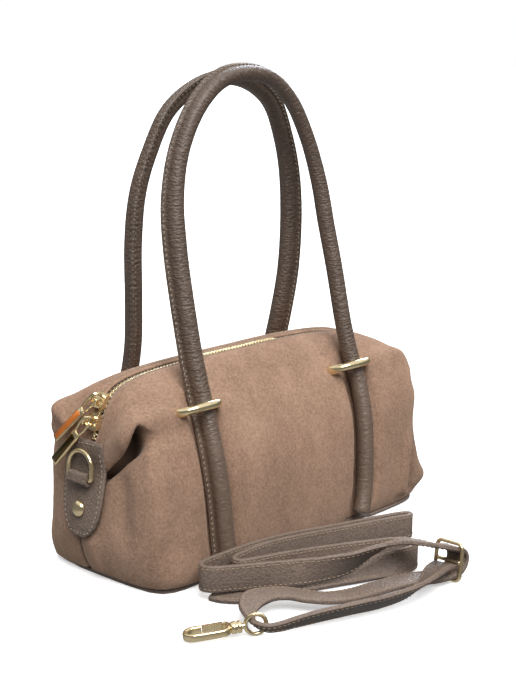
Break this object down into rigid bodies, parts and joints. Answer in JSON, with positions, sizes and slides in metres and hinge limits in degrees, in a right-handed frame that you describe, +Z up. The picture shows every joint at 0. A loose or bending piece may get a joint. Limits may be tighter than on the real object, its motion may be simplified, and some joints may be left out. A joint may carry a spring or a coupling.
{
  "type": "suede handbag",
  "caption": "Soft barrel-shaped suede handbag with a zipped top, rolled leather handles held by gold rings, end tabs with D-rings, and a loose leather shoulder strap in front.",
  "frame": {"origin": "middle of the base's underside, on the floor", "axes": "+X along the zip towards the end without zip sliders, -Y towards the front where the strap lies, +Z up"},
  "size_m": [0.3212, 0.2551, 0.3292],
  "materials": {
    "suede": "brushed suede, taupe pink",
    "grained_leather": "fine grained, satin, grey taupe",
    "gold_metal": "polished pale gold",
    "zip_teeth": "polished fine teeth",
    "zip_tape": "woven tape"
  },
  "bodies": {
    "bag": {"front_panel": "suede", "back_panel": "suede", "base_panel": "grained_leather", "base_piping": "grained_leather", "zip_tape": "zip_tape", "zip_teeth": "zip_teeth", "zip_slider_upper": "gold_metal", "zip_slider_lower": "gold_metal", "end_tab_left": "grained_leather", "d_ring_loop_left": "grained_leather", "rivet_left": "gold_metal", "end_tab_right": "grained_leather", "d_ring_loop_right": "grained_leather", "rivet_right": "gold_metal", "handle_front": "grained_leather", "handle_back": "grained_leather", "handle_ring_front_left": "gold_metal", "handle_ring_front_right": "gold_metal", "handle_ring_back_left": "gold_metal", "handle_ring_back_right": "gold_metal", "shoulder_strap": "grained_leather", "strap_buckle": "gold_metal", "hook_eye": "gold_metal", "hook_far": "gold_metal"},
    "zip_pull_upper_body": {"zip_pull_upper": "gold_metal"},
    "zip_pull_lower_body": {"zip_pull_lower": "gold_metal"},
    "d_ring_left_body": {"d_ring_left": "gold_metal"},
    "d_ring_right_body": {"d_ring_right": "gold_metal"},
    "hook_swivel_body": {"hook_body": "gold_metal"},
    "hook_gate_body": {"hook_gate": "gold_metal"}
  },
  "joints": [
    {"name": "zip_pull_upper_hinge", "type": "hinge", "parent": "bag", "child": "zip_pull_upper_body", "pos_m": [-0.13432, 0, 0.12276], "axis": [0.3691, 0.7905, 0.4887], "range_deg": [0, 110]},
    {"name": "zip_pull_lower_hinge", "type": "hinge", "parent": "bag", "child": "zip_pull_lower_body", "pos_m": [-0.14146, 0, 0.10864], "axis": [0.2043, 0.7832, 0.5872], "range_deg": [0, 110]},
    {"name": "d_ring_left_hinge", "type": "hinge", "parent": "bag", "child": "d_ring_left_body", "pos_m": [-0.14576, 0.004, 0.07039], "axis": [0, -1, 0], "range_deg": [0, 140]},
    {"name": "d_ring_right_hinge", "type": "hinge", "parent": "bag", "child": "d_ring_right_body", "pos_m": [0.14597, 0.004, 0.07054], "axis": [0, 1, 0], "range_deg": [0, 140]},
    {"name": "hook_swivel", "type": "hinge", "parent": "bag", "child": "hook_swivel_body", "pos_m": [-0.1349, -0.14, 0.008], "axis": [-0.7722, 0.6253, -0.1132], "continuous": true},
    {"name": "hook_gate_hinge", "type": "hinge", "parent": "hook_swivel_body", "child": "hook_gate_body", "pos_m": [-0.14686, -0.12272, 0.0057], "axis": [-0.088, 0.0712, 0.9936], "range_deg": [0, 20], "stiffness_Nm_per_rad": 0.004, "springref_deg": -11.46}
  ]
}
